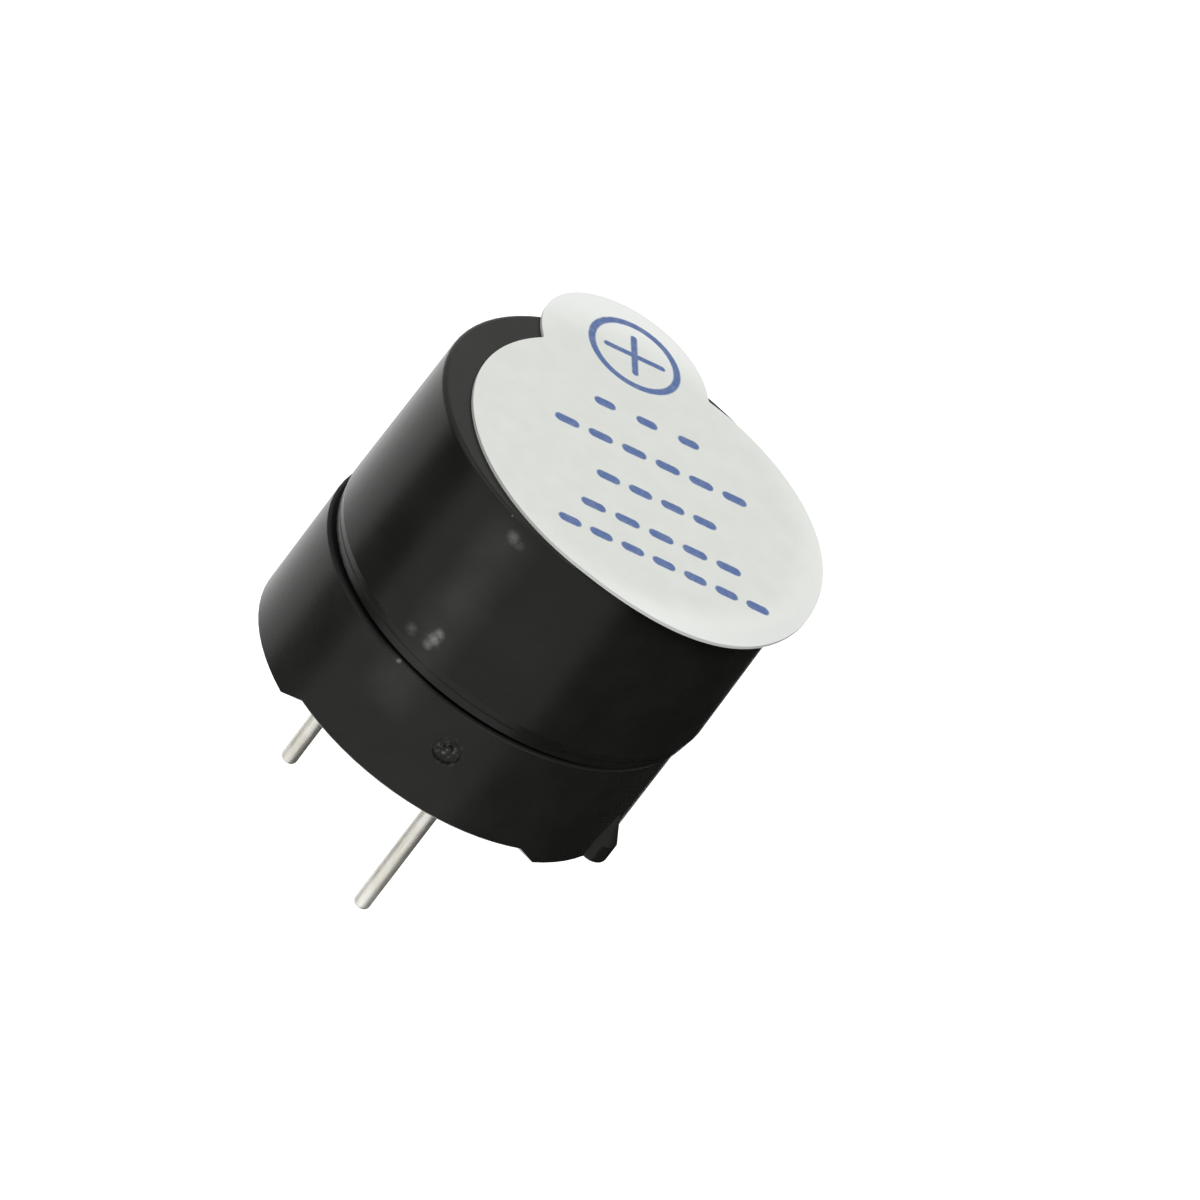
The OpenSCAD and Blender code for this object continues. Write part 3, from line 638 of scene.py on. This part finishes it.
printed = given.node("GeometryNodeStoreNamedAttribute", {
    "data_type": "FLOAT", "domain": "FACE"}, {
    "Geometry": raised, "Name": "upper_face", "Value": raised["Top"] * 1.0})
closed = given.node("GeometryNodeJoinGeometry")
for part in (printed, given.node("GeometryNodeFlipFaces", None, {"Mesh": sheet_under})):
    given.tree.links.new(part.socket, closed.socket.node.inputs[0])
closed = given.node("GeometryNodeMergeByDistance", None, {"Geometry": closed, "Distance": weld})
bend = given.node("GeometryNodeInputMeshEdgeAngle")["Unsigned Angle"]
closed = given.node("GeometryNodeSetShadeSmooth", {"domain": "EDGE"}, {
    "Geometry": closed, "Selection": bend.math("GREATER_THAN", sharp_bend),
    "Shade Smooth": False})
end_tree(closed, given)

label_paper, label_shader, label_place = bare_finish("label_paper", 0.55, specular=0.4)
paper_white = srgb(229, 232, 226)
paper_warm = srgb(224, 227, 220)
paper_painted_lit = srgb(244, 246, 243)
ink_colour = srgb(60, 94, 154)
cover_x, cover_y = cover_axis.x / mm, cover_axis.y / mm
row_angle = math.radians(80.2)

# The printed marks are drawn with distances in millimetres along and across the printed rows.
reading = label_place.node("ShaderNodeMapping", {"vector_type": "TEXTURE"}, {
    "Vector": label_place, "Location": (cover_x, cover_y, 0), "Rotation": (0, 0, row_angle)})
split = reading.node("ShaderNodeSeparateXYZ", None, {"Vector": reading})
along, up = split["X"], split["Y"]
rough_edge = (reading.noise(16.0, 2.0) - 0.5) * 0.03


def stroke(distance, half_width):
    """1 inside a line of that half width, and 0 outside it, with a slightly bled edge."""
    thin, bled = 0.025, 0.035
    return 1 - (distance + rough_edge).step(half_width - thin, half_width + bled)


def bar(u, v, half_length, half_height):
    """A bar with round ends. u and v are measured from its middle."""
    past = (abs(u) - (half_length - half_height)).math("MAXIMUM", 0.0)
    return stroke((past ** 2 + v ** 2).math("SQRT"), half_height)


def printed_row(first, last, middle, height, count, share):
    """A row of equal bars between two places along the row."""
    pitch = (last - first) / count
    cell = (along - first) / pitch
    local = (cell.math("FLOOR") + 0.5 - cell) * pitch
    inside = (along - first).math("GREATER_THAN", 0.0) * (last - along).math("GREATER_THAN", 0.0)
    return inside * bar(local, up - middle, pitch * share / 2, height / 2)


# A row's start, end and middle line, the height of its bars, how many it has, and the share of
# their pitch that they fill
rows = [
    (-1.41, 2.67, 2.42, 0.34, 3, 0.5),
    (-2.55, 3.98, 0.80, 0.34, 6, 0.72),
    (-1.24, 2.93, -0.95, 0.34, 4, 0.72),
    (-1.79, 3.68, -2.55, 0.34, 5, 0.72),
    (-2.54, 4.54, -3.74, 0.34, 7, 0.72),
]
ink = printed_row(*rows[0])
for row in rows[1:]:
    ink = ink.math("MAXIMUM", printed_row(*row))

# The plus sign in its ring, on the tab
sign_angle, sign_out = math.radians(166.8), 5.31
ring_r, ring_half_line = 1.39, 0.11
plus_half_width, plus_half_height, plus_half_line = 1.0, 0.9, 0.1
sign = sign_out * Vector((math.cos(sign_angle), math.sin(sign_angle)))
sign_along = sign.x * math.cos(row_angle) + sign.y * math.sin(row_angle)
sign_up = sign.y * math.cos(row_angle) - sign.x * math.sin(row_angle)
from_sign_u, from_sign_v = along - sign_along, up - sign_up
from_middle = (from_sign_u ** 2 + from_sign_v ** 2).math("SQRT")
ring_mark = stroke(abs(from_middle - ring_r), ring_half_line)
plus_mark = bar(from_sign_u, from_sign_v, plus_half_width, plus_half_line).math(
    "MAXIMUM", bar(from_sign_v, from_sign_u, plus_half_height, plus_half_line))
ink = ink.math("MAXIMUM", ring_mark).math("MAXIMUM", plus_mark)
upper_face = label_place.node("ShaderNodeAttribute", {"attribute_name": "upper_face"})["Fac"]
thickest = 0.96
ink_film = (label_place.noise(5.0, 3.0, 0.7) * 0.4 + 0.74).math("MINIMUM", thickest)
coverage = ink * upper_face * ink_film

mottle = label_place.noise(1.2, 3.0, 0.6).step(0.2, 0.8)
# Painted highlight: the paper is painted brighter towards its overhanging edge, where the sagging
# edge catches more light.
painted_light_overhang = (along ** 2 + up ** 2).math("SQRT").step(5.0, 7.0)
paper = painted_light_overhang.mix(mottle.mix(paper_white, paper_warm), paper_painted_lit)
coverage.mix(paper, ink_colour).into(label_shader, "Base Color")
(0.5 + label_place.noise(3.0, 2.0) * 0.12 - ink * 0.06).into(label_shader, "Roughness")
relief(label_place.noise(9.0, 4.0, 0.6), 0.002 * mm, label_shader)

seal = grow("seal", given, {
    "Disc radius": label_r, "Disc offset": label_shift, "Offset angle": label_shift_angle,
    "Tab radius": tab_r, "Tab reach": tab_reach, "Tab angle": tab_angle,
    "Corner radius": corner_r, "Rim radius": cover_top_r, "Sag slope": sag_slope,
    "Sag ease": sag_ease, "Sag angle": sag_angle, "Sag spread": sag_spread, "Ripple": ripple,
    "Thickness": label_t, "Axis": (cover_axis.x, cover_axis.y, cover_high.z),
    "Rings": 12, "Spokes": 720, "Material": label_paper,
})
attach(seal, "root")
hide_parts("seal_label")

# ---- Potting
# Black epoxy, cast over the board from below once everything is in. It has wetted the wall and
# the pins, sunk a little in the middle as it cured, and kept a few small bubbles.
resin, resin_shader, resin_place = bare_finish("potting_resin", 0.22)
resin_dark, resin_light = srgb(20, 20, 20), srgb(30, 30, 29)
bubble = resin_place.node("ShaderNodeTexVoronoi", None, {"Vector": resin_place, "Scale": 1.1})
pick = resin_place.node("ShaderNodeSeparateColor", None, {"Color": bubble["Color"]})
pits = (1 - bubble.step(0.06, 0.11)) * pick.step(0.72, 0.74)
swell = resin_place.noise(0.9, 2.0)
film = resin_place.noise(4.0, 4.0, 0.6)
film.step(0.3, 0.75).mix(resin_dark, resin_light).into(resin_shader, "Base Color")
(0.16 + film * 0.12 + pits * 0.2).into(resin_shader, "Roughness")
relief(swell * 1.5 + film * 0.12 - pits * 0.8, 0.03 * mm, resin_shader)
dress(["potting"], resin)
